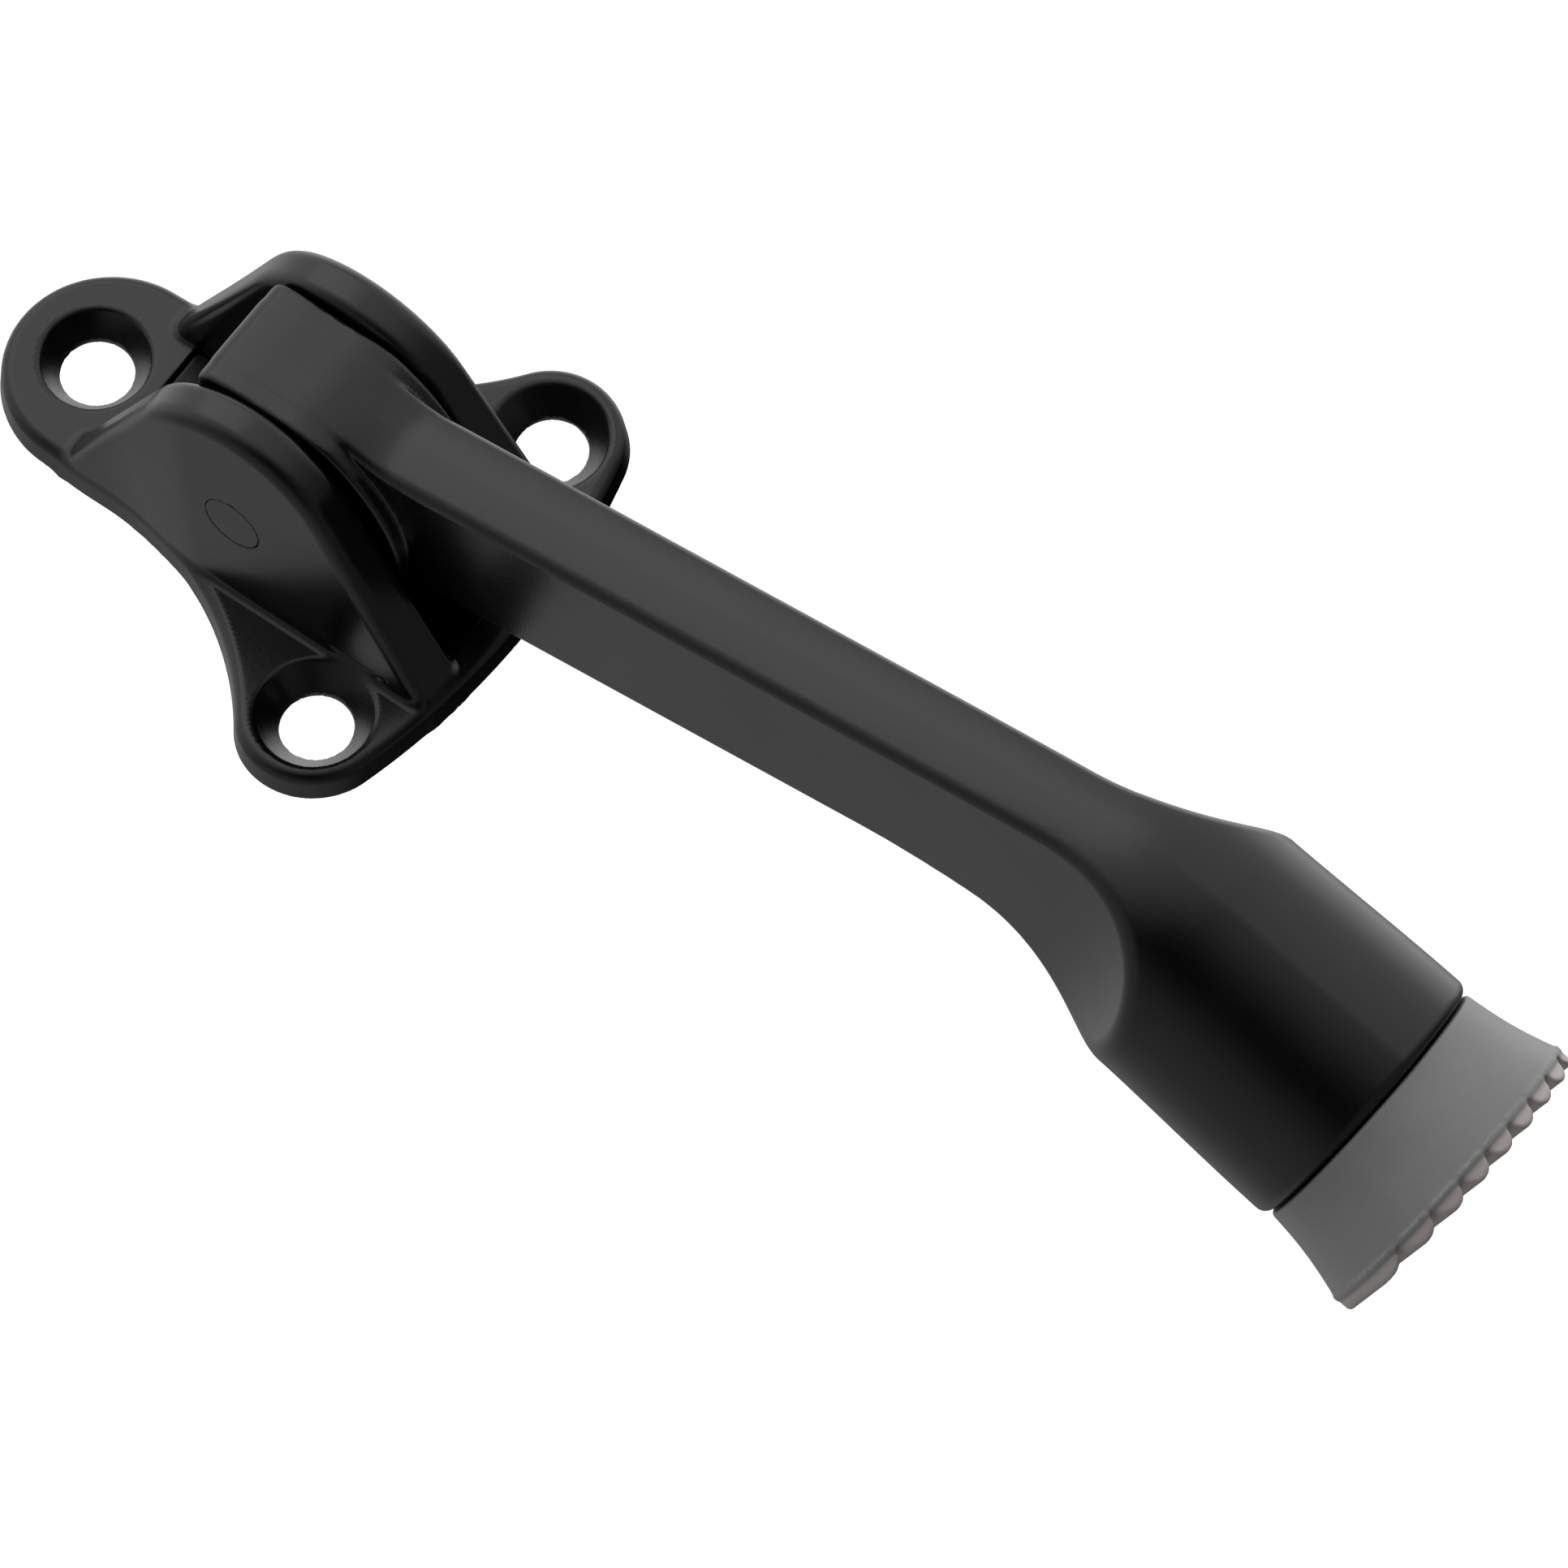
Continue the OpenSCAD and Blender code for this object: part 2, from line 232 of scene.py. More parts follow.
# ---------------------------------------------------------------- bracket
TOP_CENTRE = (0.0, TOP_HOLE_UP - TOP_LOBE_DROP)
SIDE_CENTRE = (
    WAIST_HALF + SIDE_CURVE_R,
    math.sqrt((SIDE_CURVE_R + LOWER_LOBE_R) ** 2 - (WAIST_HALF + SIDE_CURVE_R - LOWER_HOLE_X) ** 2),
)
SIDE_TURN = math.atan2(SIDE_CENTRE[1], SIDE_CENTRE[0] - LOWER_HOLE_X)
BOTTOM_SAG = BOTTOM_DROP - LOWER_LOBE_R
BOTTOM_CENTRE = (0.0, (LOWER_HOLE_X**2 - BOTTOM_SAG**2) / (2 * BOTTOM_SAG))
BOTTOM_TURN = math.atan2(BOTTOM_CENTRE[1], LOWER_HOLE_X)


def outline(x, z):
    """Distance to the plate's outline: the top lobe, the waist, a hollow side, a lower lobe and
    the bottom curve follow each other without corners, so the nearest of them decides."""
    x = np.abs(x)
    beside_lobes = smooth_step(z, *SPREAD_IN) * (1 - smooth_step(z, *SPREAD_OUT))
    spread = PLATE_SPREAD + SIDE_SPREAD * beside_lobes

    def arc(centre, r, low, high, hollow=1):
        angle = np.arctan2(z - centre[1], x - centre[0])
        angle = np.where(angle < low - 1e-6, angle + 2 * math.pi, angle)
        gap = hollow * (np.hypot(x - centre[0], z - centre[1]) - r)
        return np.where(angle <= high + 1e-6, gap, np.inf)

    def nearer(a, b):
        return np.where(np.abs(b) < np.abs(a), b, a)

    beside = (z >= SIDE_CENTRE[1]) & (z <= TOP_CENTRE[1])
    gap = np.where(beside, x - WAIST_HALF, np.inf)
    gap = nearer(gap, arc(TOP_CENTRE, TOP_LOBE_R, 0, math.pi / 2))
    gap = nearer(gap, arc(SIDE_CENTRE, SIDE_CURVE_R, math.pi, math.pi + SIDE_TURN, -1))
    gap = nearer(gap, arc((LOWER_HOLE_X, 0), LOWER_LOBE_R, -BOTTOM_TURN, SIDE_TURN))
    bottom_r = BOTTOM_CENTRE[1] + BOTTOM_DROP
    return nearer(gap, arc(BOTTOM_CENTRE, bottom_r, -math.pi / 2, -BOTTOM_TURN)) - spread


def cheek_profile(out, z):
    """Side view of a cheek: a round crest between two straight edges that run down to the door."""
    dn, dz = out - CREST_OUT, np.abs(z - PIVOT_UP)
    straight = dn * math.sin(CHEEK_SLOPE) + dz * math.cos(CHEEK_SLOPE)
    on_crest = np.arctan2(dz, dn) < math.pi / 2 - CHEEK_SLOPE
    return np.where(on_crest, np.hypot(dn, dz), straight) - CREST_R


def bracket_distance(x, out, z):
    """The plate with its cheeks, the spring's pocket and window, the holes and the pin's bore."""
    edge = outline(x, z)
    side = edge + PLATE_DRAFT * out
    plate = both(side / math.hypot(1, PLATE_DRAFT), out - PLATE_T, PLATE_EDGE_R)
    # The cheeks stand on the plate and flow into its outline at the waist
    drafted = np.abs(x) - CHEEK_FOOT_HALF + CHEEK_DRAFT * out
    wall = both(edge + WAIST_DRAFT * out, drafted, CHEEK_WAIST_BLEND_R)
    cheeks = both(cheek_profile(out, z), wall, CHEEK_EDGE_R)
    cheeks = both(cheeks, CHEEK_GAP_HALF - np.abs(x), CHEEK_INNER_R)
    body = either(plate, cheeks, CHEEK_FOOT_FILLET)
    # The spring's pocket and the window behind it
    along, across = np.abs(z - SPRING_UP), np.abs(x) - CHEEK_GAP_HALF
    pocket_half = (SPRING_HIGH[2] - SPRING_LOW[2]) / 2 + POCKET_CLEARANCE
    pocket = np.maximum(both(along - pocket_half, across, POCKET_CORNER_R), LEDGE_OUT - out)
    window = both(along - WINDOW_HALF, across, WINDOW_CORNER_R)
    opening = np.maximum(np.minimum(pocket, window), out - PLATE_T - CUT_RISE)
    body = both(body, -opening, OPENING_EDGE_R)
    lower = (LOWER_HOLE_X, 0.0, LOWER_SINK_R)
    for hole_x, hole_z, sink_r in ((0.0, TOP_HOLE_UP, TOP_SINK_R), lower):
        around = np.hypot(np.abs(x) - hole_x, z - hole_z)
        flank = (sink_r - HOLE_R) / (PLATE_T - HOLE_LAND)
        sink = (around - HOLE_R - flank * (out - HOLE_LAND)) / math.hypot(1, flank)
        sink = np.maximum(sink, out - PLATE_T - CUT_RISE)
        body = both(body, -np.minimum(sink, around - HOLE_R), HOLE_EDGE_R)
    bore = np.hypot(out - PIVOT_OUT, z - PIVOT_UP) - PIN_R - PIN_GAP
    body = np.maximum(body, -bore)
    return both(body, -out, BACK_EDGE_R)


# ---------------------------------------------------------------- lever
BAR_MID = (BAR_FRONT - BAR_BACK) / 2


def cup_frame(depth, height):
    """A point of the lever frame as seen from the knee: depth across the cup, height along it."""
    d, h = depth - BAR_MID, height + KNEE_REACH
    return d * math.cos(BEND) - h * math.sin(BEND), d * math.sin(BEND) + h * math.cos(BEND)


def door_frame(depth, height):
    """A point of the lever frame as distance out and up from the pivot."""
    return (
        depth * math.cos(LEAN) - height * math.sin(LEAN),
        depth * math.sin(LEAN) + height * math.cos(LEAN),
    )


def bent_line(depth, height, bar_depth, cup_depth, r):
    """How far in front of a line that follows the bar at bar_depth, turns with radius r and
    follows the cup at cup_depth."""
    crossing = (BAR_MID + cup_depth * math.cos(BEND) - bar_depth) / math.sin(BEND)
    corner = -(KNEE_REACH + crossing * math.cos(BEND) + cup_depth * math.sin(BEND))
    across = depth - (bar_depth - r)
    along = height - (corner + r * math.tan(BEND / 2))
    beyond = across * math.cos(BEND) - along * math.sin(BEND)
    turned = np.arctan2(along, across)
    gap = np.where(turned > 0, across, np.where(turned < -BEND, beyond, np.hypot(across, along)))
    return gap - r


def lever_distance(x, depth, height):
    """The lever's frame has its origin on the pivot; the bar runs down along its height axis."""
    front = bent_line(depth, height, BAR_FRONT, CUP_ROOT_R, FRONT_BEND_R)
    back = bent_line(depth, height, -BAR_BACK, -CUP_ROOT_R, BACK_BEND_R)
    cup_d, cup_h = cup_frame(depth, height)
    # The bar's slightly crowned faces become the cup's cylinder
    crown = CUP_ROOT_R + (BAR_CROWN_R - CUP_ROOT_R) * smooth_step(cup_h, *CROWN_CHANGE)
    spread = (CUP_MOUTH_R - CUP_ROOT_R) * smooth_step(-cup_h, CUP_SPREAD_START, CUP_REACH)
    ridge = PARTING_SLOPE * PARTING_SPAN * (1 - np.exp(-np.abs(x) / PARTING_SPAN))
    front = np.hypot(x, np.maximum(front + crown, 0)) - crown - spread + ridge
    back = np.hypot(x, np.maximum(crown - back, 0)) - crown - spread + ridge
    hollow = FLARE_R - np.hypot(np.abs(x) - BAR_HALF - FLARE_R, cup_h - FLARE_START)
    sides = np.where(cup_h > FLARE_START, np.abs(x) - BAR_HALF, hollow)
    # The hub is a short cylinder with three flats, square to the door
    out, up = door_frame(depth, height)
    round_part = np.hypot(out, up) - HUB_R
    corner = both(out - HUB_FRONT, up - HUB_TOP, HUB_CORNER_R)
    corner = both(corner, -HUB_BACK - out, HUB_CORNER_R)
    hub = both(round_part, corner, HUB_ARRIS_R)
    bar = either(np.maximum(np.maximum(front, back), height), hub, HUB_BLEND_R)
    bar = both(bar, sides, BAR_EDGE_R)
    body = either(bar, both(hub, np.abs(x) - HUB_HALF, HUB_EDGE_R), HUB_SIDE_FILLET)
    body = both(body, -cup_h - CUP_REACH, CUP_EDGE_R)
    # The pin's bore, the foot's socket and the pilot hole of its screw
    body = both(body, PIN_R + BORE_GAP - np.hypot(out, up), BORE_EDGE_R)
    around = np.hypot(x, cup_d)
    socket = np.maximum(around - SOCKET_R, cup_h + CUP_REACH - SOCKET_DEPTH)
    pilot = np.maximum(around - PILOT_R, cup_h + CUP_REACH - PILOT_DEPTH)
    return np.maximum(body, -np.minimum(socket, pilot))


# ---------------------------------------------------------------- foot, pin and spring
def foot_distance(x, depth, down):
    """The rubber foot; down is measured from the cup's mouth towards the sole."""
    around = np.hypot(x, depth)
    bulge = FOOT_WAIST * np.sin(math.pi * np.clip(down / FOOT_H, 0, 1))
    side = (around - FOOT_TOP_R - FOOT_TAPER * down + bulge) / math.hypot(1, FOOT_TAPER)
    body = both(side, down - FOOT_H, FOOT_EDGE_R)
    body = both(body, FOOT_SEAM - down, FOOT_EDGE_R)
    nearest = RIB_PITCH * np.clip(np.round(x / RIB_PITCH), -(RIB_COUNT // 2), RIB_COUNT // 2)
    ribs = np.hypot(x - nearest, down - FOOT_H - RIB_H + RIB_R) - RIB_R
    ribs = both(ribs, around - SOLE_R + RIB_INSET, RIB_END_R)
    ribs = np.maximum(ribs, FOOT_H - RIB_ROOT - down)
    body = either(body, ribs, RIB_FILLET)
    plug = both(around - PLUG_R, np.maximum(-PLUG_LEN - down, down - PLUG_ROOT), PLUG_EDGE_R)
    body = np.minimum(body, plug)
    recess = np.maximum(around - RECESS_R, FOOT_H - RECESS_DEPTH - down)
    body = both(body, -recess, FOOT_EDGE_R)
    return np.maximum(body, FOOT_HOLE_R - around)


def pin_distance(x, out, z):
    """The pivot pin, its ends ground flush with the cheeks."""
    shaft = np.hypot(out - PIVOT_OUT, z - PIVOT_UP) - PIN_R
    face = (np.abs(x) - CHEEK_FOOT_HALF + CHEEK_DRAFT * out) / math.hypot(1, CHEEK_DRAFT)
    return both(shaft, face, PIN_EDGE_R)


def spring_distance(x, out, z):
    """The leaf spring, bowed back into the window between its two ends."""
    along = z - SPRING_UP
    half = (SPRING_HIGH - SPRING_LOW) / 2
    top = SPRING_RAISE - SPRING_LOW[1] - SPRING_BOW * (1 - np.clip(along / half[2], -1, 1) ** 2)
    side, end = np.abs(x) - half[0] - SPRING_SIDE_EXTRA, np.abs(along) - half[2] - SPRING_EXTRA
    face = both(side, end, SPRING_CORNER_R)
    return both(face, np.abs(out - top + SPRING_T / 2) - SPRING_T / 2, SPRING_EDGE_R)


# ---------------------------------------------------------------- meshing
def gradient(distance, points, step=0.02):
    """Outward direction of a distance function at each point."""
    slopes = []
    for axis in range(3):
        shift = np.zeros(3)
        shift[axis] = step
        slopes.append(distance(*(points + shift).T) - distance(*(points - shift).T))
    return np.stack(slopes, 1) / (2 * step)


def settle(distance, points, cell, rounds=4, flattest=0.05):
    """Moves points onto the surface, at most a cell in each round."""
    for _ in range(rounds):
        slope = gradient(distance, points)
        steepness = np.maximum((slope**2).sum(1), flattest)
        move = (distance(*points.T) / steepness)[:, None] * slope
        points = points - np.clip(move, -cell, cell)
    return points


UNIT = np.eye(3, dtype=int)
CORNERS = [(i, j, k) for i in (0, 1) for j in (0, 1) for k in (0, 1)]


def middles(grid, cells):
    """The middle of the points where the surface crosses each cell's edges, in grid steps."""
    total, crossings = np.zeros((len(cells), 3)), np.zeros(len(cells))
    for axis, ahead in enumerate(UNIT):
        for corner in CORNERS:
            if corner[axis]:
                continue
            start = cells + corner
            a, b = grid[tuple(start.T)], grid[tuple((start + ahead).T)]
            crossed = (a < 0) != (b < 0)
            share = np.where(crossed, a / np.where(crossed, a - b, 1), 0)
            point = start + share[:, None] * ahead
            total[crossed] += point[crossed]
            crossings += crossed
    return total / crossings[:, None]


def quads_around(inside, number):
    """A quad for each grid edge that the surface crosses, through the four cells around it."""
    quads = []
    for axis, ahead in enumerate(UNIT):
        span = [slice(1, n) for n in number.shape]
        span[axis] = slice(0, number.shape[axis])
        shifted = tuple(slice(s.start + step, s.stop + step) for s, step in zip(span, ahead))
        where = np.argwhere(inside[tuple(span)] != inside[shifted]) + [s.start for s in span]
        one, two = UNIT[(axis + 1) % 3], UNIT[(axis + 2) % 3]
        ring = [where - one - two, where - two, where, where - one]
        quad = np.stack([number[tuple(cell.T)] for cell in ring], 1)
        outward = inside[tuple(where.T)]
        quads.append(np.where(outward[:, None], quad, quad[:, ::-1]))
    return np.concatenate(quads)


def surface(distance, low, high, cell):
    """Vertices and quads of the surface where distance is 0, one vertex to a grid cell."""
    axes = [np.arange(low[i], high[i] + cell, cell) for i in range(3)]
    grid = distance(axes[0][:, None, None], axes[1][None, :, None], axes[2][None, None, :])
    inside = grid < 0
    size = np.array(grid.shape) - 1
    count = sum(
        inside[i:i + size[0], j:j + size[1], k:k + size[2]].astype(np.int8) for i, j, k in CORNERS
    )
    cells = np.argwhere((count > 0) & (count < 8))
    number = np.full(tuple(size), -1, np.int64)
    number[tuple(cells.T)] = np.arange(len(cells))
    points = np.array([axis[0] for axis in axes]) + cell * middles(grid, cells)
    return settle(distance, points, cell), quads_around(inside, number)


def refine(points, quads, near, cuts=3):
    """Splits the faces near a fine detail, so that it gets vertices of its own."""
    mesh = bmesh.new()
    vertices = [mesh.verts.new(p) for p in points]
    for quad in quads.tolist():
        mesh.faces.new([vertices[i] for i in quad])
    chosen = near(points)
    mesh.verts.index_update()
    edges = [e for e in mesh.edges if chosen[e.verts[0].index] and chosen[e.verts[1].index]]
    bmesh.ops.subdivide_edges(mesh, edges=edges, cuts=cuts, use_grid_fill=True)
    mesh.verts.index_update()
    points = np.array([v.co[:] for v in mesh.verts])
    faces = [[v.index for v in face.verts] for face in mesh.faces]
    mesh.free()
    return points, faces


def make_piece(name, distance, low, high, cell, to_row, material, near=None, painted_glow=None):
    """Meshes a distance function and places it in the row frame. The mesh keeps the shape's own
    normals, and an attribute that says how sharp the surface is, for wear along edges."""
    points, faces = surface(distance, low, high, cell)
    if near:
        points, faces = refine(points, faces, near)
        points = settle(distance, points, cell / 4)
    else:
        faces = faces.tolist()
    slope = gradient(distance, points)
    normals = slope / np.maximum(np.linalg.norm(slope, axis=1), 1e-6)[:, None]
    around = sum(
        distance(*(points + sign * WEAR_REACH * np.eye(3)[axis]).T)
        for axis in range(3) for sign in (-1, 1)
    )
    turn = np.array(to_row.to_3x3())
    placed = points @ turn.T * MM + np.array(to_row.translation)
    if np.linalg.det(turn) < 0:
        faces = [face[::-1] for face in faces]
    mesh = bpy.data.meshes.new(name)
    mesh.from_pydata(placed.tolist(), [], faces)
    mesh.shade_smooth()
    mesh.normals_split_custom_set_from_vertices((normals @ turn.T).tolist())
    wear = mesh.attributes.new("edge_wear", "FLOAT", "POINT")
    wear.data.foreach_set("value", smooth_step(around, *WEAR_RANGE).astype(np.float32))
    # Painted glow: an attribute that marks where the colour is lightened to stand in for light passing through the
    # rubber
    if painted_glow:
        painted_glow_layer = mesh.attributes.new("painted_glow", "FLOAT", "POINT")
        painted_glow_layer.data.foreach_set("value", painted_glow(points).astype(np.float32))
    mesh.materials.append(material)
    piece = bpy.data.objects.new(name, mesh)
    bpy.context.scene.collection.objects.link(piece)
    return piece


def door_matrix():
    """From (x, out, up) to the row frame."""
    return Matrix.Diagonal((1, -1, 1, 1))


def lever_matrix():
    """From (x, depth, height) in the lever's frame to the row frame."""
    turn = Matrix.Rotation(-LEAN, 4, "X") @ Matrix.Diagonal((1, -1, 1, 1))
    return Matrix.Translation(Vector(PIVOT) * MM) @ turn


def foot_matrix():
    """From (x, depth, down) at the cup's mouth to the row frame."""
    turn = Matrix.Rotation(BEND - LEAN, 4, "X")
    knee = Matrix.Rotation(-LEAN, 4, "X") @ Vector((0, -BAR_MID, -KNEE_REACH))
    mouth = knee + turn @ Vector((0, 0, -CUP_REACH))
    place = Matrix.Translation((Vector(PIVOT) + mouth) * MM)
    return place @ turn @ Matrix.Diagonal((1, -1, -1, 1))


# ---------------------------------------------------------------- materials
COAT_DARK, COAT_LIGHT = (0.0022, 0.0021, 0.0023), (0.0042, 0.004, 0.0042)
COAT_RUBBED = (0.0075, 0.0073, 0.0072)
RUBBER_DARK, RUBBER_LIGHT = (0.235, 0.235, 0.237), (0.27, 0.27, 0.271)
RUBBER_SPECK = (0.35, 0.35, 0.35)
# Painted glow colour of the ribs: lighter and warmer, standing in for light passing through the rubber
RUBBER_RIB_PAINTED_GLOW = (0.55, 0.5, 0.49)
RUBBER_EDGE = (0.4, 0.39, 0.385)
BLUED_DARK, BLUED_LIGHT = (0.028, 0.028, 0.03), (0.04, 0.039, 0.041)
ZINC_DARK, ZINC_LIGHT = (0.5, 0.5, 0.47), (0.62, 0.62, 0.6)
FLOOR_DARK, FLOOR_LIGHT = (0.86, 0.86, 0.86), (0.9, 0.9, 0.89)


class Nodes:
    """A short way to write a node tree around one Principled shader."""

    def __init__(self, name):
        self.material = bpy.data.materials.new(name)
        self.material.use_nodes = True
        self.tree = self.material.node_tree
        self.shader = self.tree.nodes["Principled BSDF"]
        self.place = self.tree.nodes.new("ShaderNodeTexCoord").outputs["Object"]

    def set(self, **values):
        for socket, value in values.items():
            self.shader.inputs[socket.replace("_", " ")].default_value = value

    def link(self, source, socket):
        self.tree.links.new(source, self.shader.inputs[socket])

    def noise(self, size, detail=2.0, roughness=0.5, stretch=None):
        """Noise whose features are size metres across."""
        node = self.tree.nodes.new("ShaderNodeTexNoise")
        node.inputs["Scale"].default_value = 1 / size
        node.inputs["Detail"].default_value = detail
        node.inputs["Roughness"].default_value = roughness
        place = self.place
        if stretch:
            mapping = self.tree.nodes.new("ShaderNodeMapping")
            mapping.inputs["Scale"].default_value = stretch
            self.tree.links.new(place, mapping.inputs["Vector"])
            place = mapping.outputs["Vector"]
        self.tree.links.new(place, node.inputs["Vector"])
        return node.outputs["Fac"]

    def ramp(self, value, low, high, start=0.0, end=1.0):
        """Maps start to end onto low to high."""
        node = self.tree.nodes.new("ShaderNodeMapRange")
        limits = {"From Min": start, "From Max": end, "To Min": low, "To Max": high}
        for socket, number in limits.items():
            node.inputs[socket].default_value = number
        self.tree.links.new(value, node.inputs["Value"])
        return node.outputs["Result"]

    def math(self, operation, a, b):
        node = self.tree.nodes.new("ShaderNodeMath")
        node.operation = operation
        for socket, value in zip(node.inputs, (a, b)):
            if isinstance(value, (int, float)):
                socket.default_value = value
            else:
                self.tree.links.new(value, socket)
        return node.outputs[0]

    def mix(self, share, a, b):
        node = self.tree.nodes.new("ShaderNodeMix")
        node.data_type = "RGBA"
        self.tree.links.new(share, node.inputs["Factor"])
        for socket, value in zip((node.inputs["A"], node.inputs["B"]), (a, b)):
            if isinstance(value, tuple):
                socket.default_value = (*value, 1)
            else:
                self.tree.links.new(value, socket)
        return node.outputs["Result"]

    def attribute(self, name):
        node = self.tree.nodes.new("ShaderNodeAttribute")
        node.attribute_name = name
        return node.outputs["Fac"]

    def bump(self, height, depth, under=None):
        """Raises the surface by depth metres where height is 1."""
        node = self.tree.nodes.new("ShaderNodeBump")
        node.inputs["Strength"].default_value = 1.0
        node.inputs["Distance"].default_value = depth
        self.tree.links.new(height, node.inputs["Height"])
        if under:
            self.tree.links.new(under, node.inputs["Normal"])
        return node.outputs["Normal"]


def satin_black():
    """Powder-like black coating: fine orange peel, uneven gloss, edges rubbed a little smoother."""
    m = Nodes("satin_black")
    m.set(Metallic=0.0, IOR=1.5)
    cloud = m.noise(0.009, detail=3)
    peel = m.noise(0.0005, detail=2, roughness=0.6)
    grain = m.noise(0.00016, detail=1)
    rubbed = m.math("MULTIPLY", m.attribute("edge_wear"), m.ramp(cloud, 0.2, 1.0, 0.35, 0.65))
    coat = m.mix(m.ramp(cloud, 0, 1, 0.3, 0.7), COAT_DARK, COAT_LIGHT)
    m.link(m.mix(rubbed, coat, COAT_RUBBED), "Base Color")
    rough = m.ramp(cloud, 0.24, 0.3, 0.3, 0.7)
    rough = m.math("ADD", rough, m.ramp(grain, -0.02, 0.02, 0.3, 0.7))
    rough = m.math("SUBTRACT", rough, m.math("MULTIPLY", rubbed, 0.05))
    m.link(rough, "Roughness")
    relief = m.bump(peel, 0.000006)
    m.link(m.bump(grain, 0.0000015, under=relief), "Normal")
    return m.material


def grey_rubber():
    """Moulded grey rubber: speckled with filler, fine mould texture, and the ribs painted lighter and warmer as a
    painted glow that stands in for light passing through the thin rubber.
    """
    m = Nodes("grey_rubber")
    m.set(Metallic=0.0, IOR=1.5)
    cloud = m.noise(0.006, detail=3)
    speck = m.noise(0.00025, detail=2, roughness=0.7)
    grain = m.noise(0.0004, detail=3)
    base = m.mix(m.ramp(cloud, 0, 1, 0.3, 0.7), RUBBER_DARK, RUBBER_LIGHT)
    base = m.mix(m.ramp(speck, 0, 0.4, 0.62, 0.72), base, RUBBER_SPECK)
    # Painted glow: the ribs mixed towards a lighter, warmer grey, standing in for light passing through the rubber
    base = m.mix(m.attribute("painted_glow"), base, RUBBER_RIB_PAINTED_GLOW)
    base = m.mix(m.math("MULTIPLY", m.attribute("edge_wear"), 0.5), base, RUBBER_EDGE)
    m.link(base, "Base Color")
    m.link(m.ramp(cloud, 0.4, 0.5, 0.3, 0.7), "Roughness")
    m.link(m.bump(grain, 0.000015, under=m.bump(cloud, 0.00006)), "Normal")
    return m.material


def brushed_metal(name, dark, light, rough, across):
    """Plated or blued steel with fine brushing; across is how closely it repeats on each axis."""
    m = Nodes(name)
    m.set(Metallic=1.0)
    strokes = m.noise(0.0008, detail=4, roughness=0.7, stretch=across)
    patch = m.noise(0.004, detail=2)
    m.link(m.mix(m.ramp(patch, 0, 1, 0.35, 0.65), dark, light), "Base Color")
    brushing = m.ramp(strokes, rough - 0.06, rough + 0.08)
    m.link(m.math("ADD", brushing, m.ramp(patch, -0.03, 0.03)), "Roughness")
    m.link(m.bump(strokes, 0.000006), "Normal")
    return m.material


def blued_steel():
    return brushed_metal("blued_steel", BLUED_DARK, BLUED_LIGHT, rough=0.3, across=(1, 1, 0.08))


def zinc_plate():
    return brushed_metal("zinc_plate", ZINC_DARK, ZINC_LIGHT, rough=0.3, across=(1, 0.2, 1))


# ---------------------------------------------------------------- pieces
def near_pin(points):
    """The rings around the pin's ends on the outer sides of the cheeks."""
    around = np.hypot(points[:, 1] - PIVOT_OUT, points[:, 2] - PIVOT_UP)
    return (np.abs(around - PIN_R) < PIN_RING) & (np.abs(points[:, 0]) > PIN_RING_SIDE)


# Mask of the painted glow: 1 on the ribs below the sole, where light through the rubber is painted into the colour
def painted_glow_on_ribs(points):
    return smooth_step(points[:, 2], *RIB_PAINTED_GLOW_RANGE)


def bracket_piece(material):
    low, high = (np.array(corner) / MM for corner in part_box("bracket"))
    margin = 0.8
    return make_piece(
        "bracket_casting", bracket_distance,
        (low[0] - margin, -high[1] - margin, low[2] - margin),
        (high[0] + margin, -low[1] + margin, high[2] + margin),
        BRACKET_CELL, door_matrix(), material, near=near_pin,
    )


def pin_piece(material):
    side, margin = CHEEK_FOOT_HALF + 0.15, 0.5
    return make_piece(
        "pivot_pin_flush", pin_distance,
        (-side, PIVOT_OUT - PIN_R - margin, PIVOT_UP - PIN_R - margin),
        (side, PIVOT_OUT + PIN_R + margin, PIVOT_UP + PIN_R + margin),
        SMALL_CELL, door_matrix(), material, near=near_pin,
    )


def spring_piece(material):
    margin = 0.5
    return make_piece(
        "leaf_spring_bowed", spring_distance,
        (SPRING_LOW[0] - margin, -margin, SPRING_LOW[2] - margin),
        (SPRING_HIGH[0] + margin, PLATE_T + 0.2, SPRING_HIGH[2] + margin),
        SMALL_CELL, door_matrix(), material,
    )


def lever_piece(material):
    cup_end = KNEE_REACH + CUP_REACH * math.cos(BEND) + CUP_MOUTH_R * math.sin(BEND)
    cup_back = CUP_REACH * math.sin(BEND) + CUP_MOUTH_R - BAR_MID
    margin = 1.0
    return make_piece(
        "lever_casting", lever_distance,
        (-CUP_MOUTH_R - margin, -cup_back - margin, -cup_end - margin),
        (CUP_MOUTH_R + margin, HUB_R + margin, HUB_R + margin),
        LEVER_CELL, lever_matrix(), material,
    )


def foot_piece(material):
    margin = 1.0
    side = SOLE_R + margin
    return make_piece(
        "ribbed_rubber_foot", foot_distance,
        (-side, -side, -PLUG_LEN - margin), (side, side, FOOT_H + RIB_H + margin),
        FOOT_CELL, foot_matrix(), material, painted_glow=painted_glow_on_ribs,
    )


def paint_cad_node(name, material):
    node = frame["nodes"][name]
    node.data.materials.clear()
    node.data.materials.append(material)


